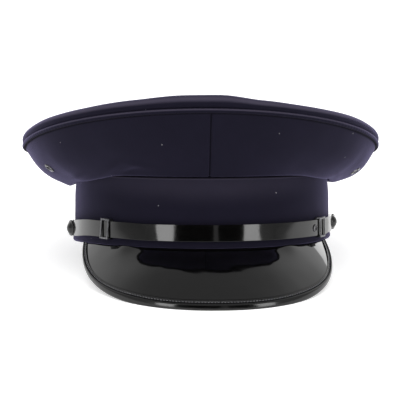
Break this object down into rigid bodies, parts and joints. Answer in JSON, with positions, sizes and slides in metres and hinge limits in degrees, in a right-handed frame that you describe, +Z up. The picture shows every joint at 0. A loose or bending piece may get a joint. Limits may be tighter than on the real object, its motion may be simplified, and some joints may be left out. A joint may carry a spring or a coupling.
{
  "type": "valet cap",
  "caption": "Peaked uniform cap with a flared cloth crown, an upright cloth band, a glossy sloping peak and a glossy chin strap held by side buttons and slides.",
  "frame": {"origin": "centre of the bounding box's bottom, on the surface that the cap rests on", "axes": "+Z is up; the front of the cap, with the peak, faces -Y; +X is the wearer's left"},
  "size_m": [0.2572, 0.282, 0.1363],
  "materials": {
    "cap_cloth": "matte navy serge cloth",
    "patent_peak": "gloss black patent leather",
    "patent_binding": "gloss black patent leather, stitched",
    "patent_strap": "gloss black patent leather",
    "slide_metal": "dark nickel plated, worn bright on its edges",
    "button_gloss": "gloss black",
    "eyelet_metal": "dark lacquer, worn on the rim"
  },
  "bodies": {
    "root": {"crown_top": "cap_cloth", "quarter_front_left": "cap_cloth", "quarter_front_right": "cap_cloth", "quarter_back_left": "cap_cloth", "quarter_back_right": "cap_cloth", "crown_piping": "cap_cloth", "band": "cap_cloth", "peak": "patent_peak", "peak_binding": "patent_binding", "chin_strap_outer": "patent_strap", "chin_strap_inner": "patent_strap", "slide_right": "slide_metal", "slide_left": "slide_metal", "strap_rivet": "slide_metal", "button_right": "button_gloss", "button_left": "button_gloss", "eyelet_right": "eyelet_metal", "eyelet_left": "eyelet_metal"}
  },
  "joints": []
}
